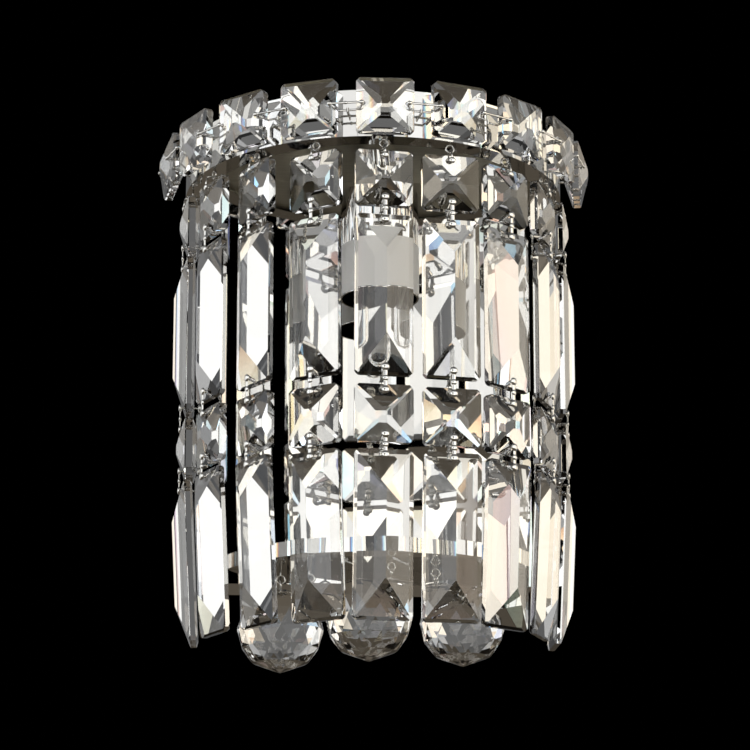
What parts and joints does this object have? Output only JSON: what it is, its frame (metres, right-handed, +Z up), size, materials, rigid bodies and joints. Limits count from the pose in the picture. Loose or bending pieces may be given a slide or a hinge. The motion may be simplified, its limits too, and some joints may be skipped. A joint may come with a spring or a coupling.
{
  "type": "crystal wall sconce",
  "caption": "Half-round wall light: mirror crown band with cut squares, hanging columns of faceted crystals, chrome tray with faceted balls below, one capsule lamp in a cup.",
  "frame": {"origin": "centre of the wall bracket, on the wall plane, midway between the two bolt slots", "axes": "+Z up, -Y out of the wall into the room, +X to the right for a viewer who faces the light"},
  "size_m": [0.2166, 0.1086, 0.2688],
  "materials": {
    "crystal_glass": "clear, cut and polished",
    "mirror_chrome": "polished",
    "wire_chrome": "polished wire",
    "brushed_steel": "brushed",
    "steel_screws": "zinc plated",
    "white_label": "matte, bare",
    "lamp_ceramic": "unglazed",
    "contact_brass": "plain",
    "capsule_glass": "clear",
    "lamp_metal": "drawn wire",
    "bushing_plastic": "moulded",
    "lead_insulation": "sleeved",
    "connector_plastic": "moulded"
  },
  "bodies": {
    "frame": {"column_hangers": "wire_chrome", "crown_crystals": "crystal_glass", "crown_links": "wire_chrome", "crown_hooks": "wire_chrome", "crown_band": "mirror_chrome", "top_pan": "brushed_steel", "back_box": "mirror_chrome", "bottom_tray": "mirror_chrome", "ball_hangers": "wire_chrome", "lamp_stem": "mirror_chrome", "lamp_nipple": "steel_screws", "lamp_nuts": "steel_screws", "lamp_cup": "mirror_chrome", "lamp_label": "white_label", "lamp_socket": "lamp_ceramic", "lamp_contacts": "contact_brass", "wall_bracket": "steel_screws", "ground_screw": "contact_brass", "frame_screws": "steel_screws", "lead_bushing": "bushing_plastic", "lamp_leads": "lead_insulation", "wire_connectors": "connector_plastic"},
    "column_1": {"column_1_crystals": "crystal_glass", "column_1_links": "wire_chrome"},
    "column_1_drop": {"column_1_lower_prism": "crystal_glass"},
    "column_2": {"column_2_crystals": "crystal_glass", "column_2_links": "wire_chrome"},
    "column_2_drop": {"column_2_lower_prism": "crystal_glass"},
    "column_3": {"column_3_crystals": "crystal_glass", "column_3_links": "wire_chrome"},
    "column_3_drop": {"column_3_lower_prism": "crystal_glass"},
    "column_4": {"column_4_crystals": "crystal_glass", "column_4_links": "wire_chrome"},
    "column_4_drop": {"column_4_lower_prism": "crystal_glass"},
    "column_5": {"column_5_crystals": "crystal_glass", "column_5_links": "wire_chrome"},
    "column_5_drop": {"column_5_lower_prism": "crystal_glass"},
    "column_6": {"column_6_crystals": "crystal_glass", "column_6_links": "wire_chrome"},
    "column_6_drop": {"column_6_lower_prism": "crystal_glass"},
    "column_7": {"column_7_crystals": "crystal_glass", "column_7_links": "wire_chrome"},
    "column_7_drop": {"column_7_lower_prism": "crystal_glass"},
    "column_8": {"column_8_crystals": "crystal_glass", "column_8_links": "wire_chrome"},
    "column_8_drop": {"column_8_lower_prism": "crystal_glass"},
    "column_9": {"column_9_crystals": "crystal_glass", "column_9_links": "wire_chrome"},
    "column_9_drop": {"column_9_lower_prism": "crystal_glass"},
    "ball_left": {"ball_left": "crystal_glass", "ball_left_eye": "wire_chrome"},
    "ball_middle": {"ball_middle": "crystal_glass", "ball_middle_eye": "wire_chrome"},
    "ball_right": {"ball_right": "crystal_glass", "ball_right_eye": "wire_chrome"},
    "lamp": {"bulb_glass": "capsule_glass", "bulb_metal": "lamp_metal"}
  },
  "joints": [
    {"name": "column_1_swing", "type": "hinge", "parent": "frame", "child": "column_1", "pos_m": [-0.0904, -0.01594, 0.0972], "axis": [0, 1, 0], "range_deg": [-0.3, 35]},
    {"name": "column_1_drop_swing", "type": "hinge", "parent": "column_1", "child": "column_1_drop", "pos_m": [-0.08937, -0.01594, -0.0512], "axis": [0, 1, 0], "range_deg": [-0.8, 10]},
    {"name": "column_2_swing", "type": "hinge", "parent": "frame", "child": "column_2", "pos_m": [-0.0795, -0.0459, 0.0972], "axis": [-0.4226, 0.9063, 0], "range_deg": [-0.3, 35]},
    {"name": "column_2_drop_swing", "type": "hinge", "parent": "column_2", "child": "column_2_drop", "pos_m": [-0.07856, -0.04546, -0.0512], "axis": [-0.4226, 0.9063, 0], "range_deg": [-0.8, 10]},
    {"name": "column_3_swing", "type": "hinge", "parent": "frame", "child": "column_3", "pos_m": [-0.05901, -0.07032, 0.0972], "axis": [-0.5299, 0.848, 0], "range_deg": [-0.3, 35]},
    {"name": "column_3_drop_swing", "type": "hinge", "parent": "column_3", "child": "column_3_drop", "pos_m": [-0.05813, -0.06977, -0.0512], "axis": [-0.5299, 0.848, 0], "range_deg": [-0.8, 10]},
    {"name": "column_4_swing", "type": "hinge", "parent": "frame", "child": "column_4", "pos_m": [-0.0314, -0.08626, 0.0972], "axis": [-0.8192, 0.5736, 0], "range_deg": [-0.3, 35]},
    {"name": "column_4_drop_swing", "type": "hinge", "parent": "column_4", "child": "column_4_drop", "pos_m": [-0.0308, -0.08542, -0.0512], "axis": [-0.8192, 0.5736, 0], "range_deg": [-0.8, 10]},
    {"name": "column_5_swing", "type": "hinge", "parent": "frame", "child": "column_5", "pos_m": [0, -0.0918, 0.0972], "axis": [-0.9925, -0.1219, 0], "range_deg": [-0.3, 35]},
    {"name": "column_5_drop_swing", "type": "hinge", "parent": "column_5", "child": "column_5_drop", "pos_m": [-0.00013, -0.09077, -0.0512], "axis": [-0.9925, -0.1219, 0], "range_deg": [-0.8, 10]},
    {"name": "column_6_swing", "type": "hinge", "parent": "frame", "child": "column_6", "pos_m": [0.0314, -0.08626, 0.0972], "axis": [-0.9877, -0.1564, 0], "range_deg": [-0.3, 35]},
    {"name": "column_6_drop_swing", "type": "hinge", "parent": "column_6", "child": "column_6_drop", "pos_m": [0.03123, -0.08524, -0.0512], "axis": [-0.9877, -0.1564, 0], "range_deg": [-0.8, 10]},
    {"name": "column_7_swing", "type": "hinge", "parent": "frame", "child": "column_7", "pos_m": [0.05901, -0.07032, 0.0972], "axis": [-0.788, -0.6157, 0], "range_deg": [-0.3, 35]},
    {"name": "column_7_drop_swing", "type": "hinge", "parent": "column_7", "child": "column_7_drop", "pos_m": [0.05837, -0.06951, -0.0512], "axis": [-0.788, -0.6157, 0], "range_deg": [-0.8, 10]},
    {"name": "column_8_swing", "type": "hinge", "parent": "frame", "child": "column_8", "pos_m": [0.0795, -0.0459, 0.0972], "axis": [-0.3746, -0.9272, 0], "range_deg": [-0.3, 35]},
    {"name": "column_8_drop_swing", "type": "hinge", "parent": "column_8", "child": "column_8_drop", "pos_m": [0.07854, -0.04551, -0.0512], "axis": [-0.3746, -0.9272, 0], "range_deg": [-0.8, 10]},
    {"name": "column_9_swing", "type": "hinge", "parent": "frame", "child": "column_9", "pos_m": [0.0904, -0.01594, 0.0972], "axis": [0, -1, 0], "range_deg": [-0.3, 35]},
    {"name": "column_9_drop_swing", "type": "hinge", "parent": "column_9", "child": "column_9_drop", "pos_m": [0.08937, -0.01594, -0.0512], "axis": [0, -1, 0], "range_deg": [-0.8, 10]},
    {"name": "ball_left_swing", "type": "hinge", "parent": "frame", "child": "ball_left", "pos_m": [-0.045, -0.039, -0.0999], "axis": [-1, 0, 0], "range_deg": [-5, 5]},
    {"name": "ball_middle_swing", "type": "hinge", "parent": "frame", "child": "ball_middle", "pos_m": [-0.005, -0.057, -0.0969], "axis": [-1, 0, 0], "range_deg": [-5, 5]},
    {"name": "ball_right_swing", "type": "hinge", "parent": "frame", "child": "ball_right", "pos_m": [0.0395, -0.04, -0.0963], "axis": [-1, 0, 0], "range_deg": [-5, 5]},
    {"name": "lamp_out", "type": "slide", "parent": "frame", "child": "lamp", "axis": [0, 0, -1], "range_m": [0, 0.012]}
  ]
}
